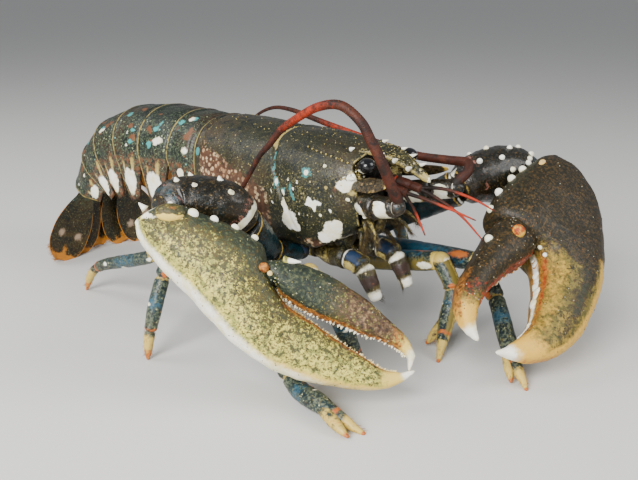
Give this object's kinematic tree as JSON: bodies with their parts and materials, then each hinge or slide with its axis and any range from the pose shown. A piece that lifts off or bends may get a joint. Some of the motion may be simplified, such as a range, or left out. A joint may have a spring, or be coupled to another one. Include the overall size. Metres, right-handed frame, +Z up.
{
  "type": "european lobster",
  "caption": "Life-size European lobster standing on its legs, claws held forward and down, tail curved under, antennae swept back.",
  "frame": {"origin": "on the floor under the middle of the bounding box", "axes": "+X towards the head, along the animal's length; +Y to the animal's left; +Z up"},
  "size_m": [0.3676, 0.2368, 0.1382],
  "materials": {
    "dark_shell": "wet shell, dark olive brown with white blotches and fine pale specks",
    "tail_shell": "wet shell, blue-black and green with white lower patches and pale rear edges",
    "cutter_shell": "wet shell, olive yellow densely speckled dark, blue-grey upper side, white tips",
    "crusher_shell": "wet shell, grey brown to olive cream with brown speckles, white tips",
    "leg_shell": "wet shell, dark blue with yellow and orange joints",
    "antenna_shell": "wet shell, brick red, finely ringed",
    "fan_shell": "wet shell, dark brown with a golden fringe",
    "mouth_shell": "wet shell, brown and cream",
    "eye_black": "polished black"
  },
  "bodies": {
    "root": {"carapace_back": "dark_shell", "carapace_head": "dark_shell", "rostrum": "dark_shell", "antenna_base_right": "dark_shell", "antenna_base_left": "dark_shell", "antenna_scale_right": "dark_shell", "antenna_scale_left": "dark_shell", "arm_ischium_right": "dark_shell", "arm_ischium_left": "dark_shell", "arm_merus_right": "dark_shell", "arm_merus_left": "dark_shell", "arm_carpus_right": "dark_shell", "arm_carpus_left": "dark_shell", "abdomen_1": "tail_shell", "abdomen_2": "tail_shell", "abdomen_3": "tail_shell", "abdomen_4": "tail_shell", "abdomen_5": "tail_shell", "abdomen_6": "tail_shell", "telson": "fan_shell", "uropod_inner_right": "fan_shell", "uropod_inner_left": "fan_shell", "uropod_outer_right": "fan_shell", "uropod_outer_left": "fan_shell", "claw_palm_right": "cutter_shell", "claw_finger_right": "cutter_shell", "claw_palm_left": "crusher_shell", "claw_finger_left": "crusher_shell", "leg_right_1_upper": "leg_shell", "leg_right_1_lower": "leg_shell", "leg_right_2_upper": "leg_shell", "leg_right_2_lower": "leg_shell", "leg_right_3_upper": "leg_shell", "leg_right_3_lower": "leg_shell", "leg_right_4_upper": "leg_shell", "leg_right_4_lower": "leg_shell", "leg_left_1_upper": "leg_shell", "leg_left_1_lower": "leg_shell", "leg_left_2_upper": "leg_shell", "leg_left_2_lower": "leg_shell", "leg_left_3_upper": "leg_shell", "leg_left_3_lower": "leg_shell", "leg_left_4_upper": "leg_shell", "leg_left_4_lower": "leg_shell", "antenna_right_1": "antenna_shell", "antenna_right_2": "antenna_shell", "antenna_right_3": "antenna_shell", "antenna_left_1": "antenna_shell", "antenna_left_2": "antenna_shell", "antenna_left_3": "antenna_shell", "antennule_right": "antenna_shell", "antennule_left": "antenna_shell", "thorax_underside": "mouth_shell", "maxilliped_right": "mouth_shell", "maxilliped_left": "mouth_shell", "eye_right": "eye_black", "eye_left": "eye_black"}
  },
  "joints": []
}
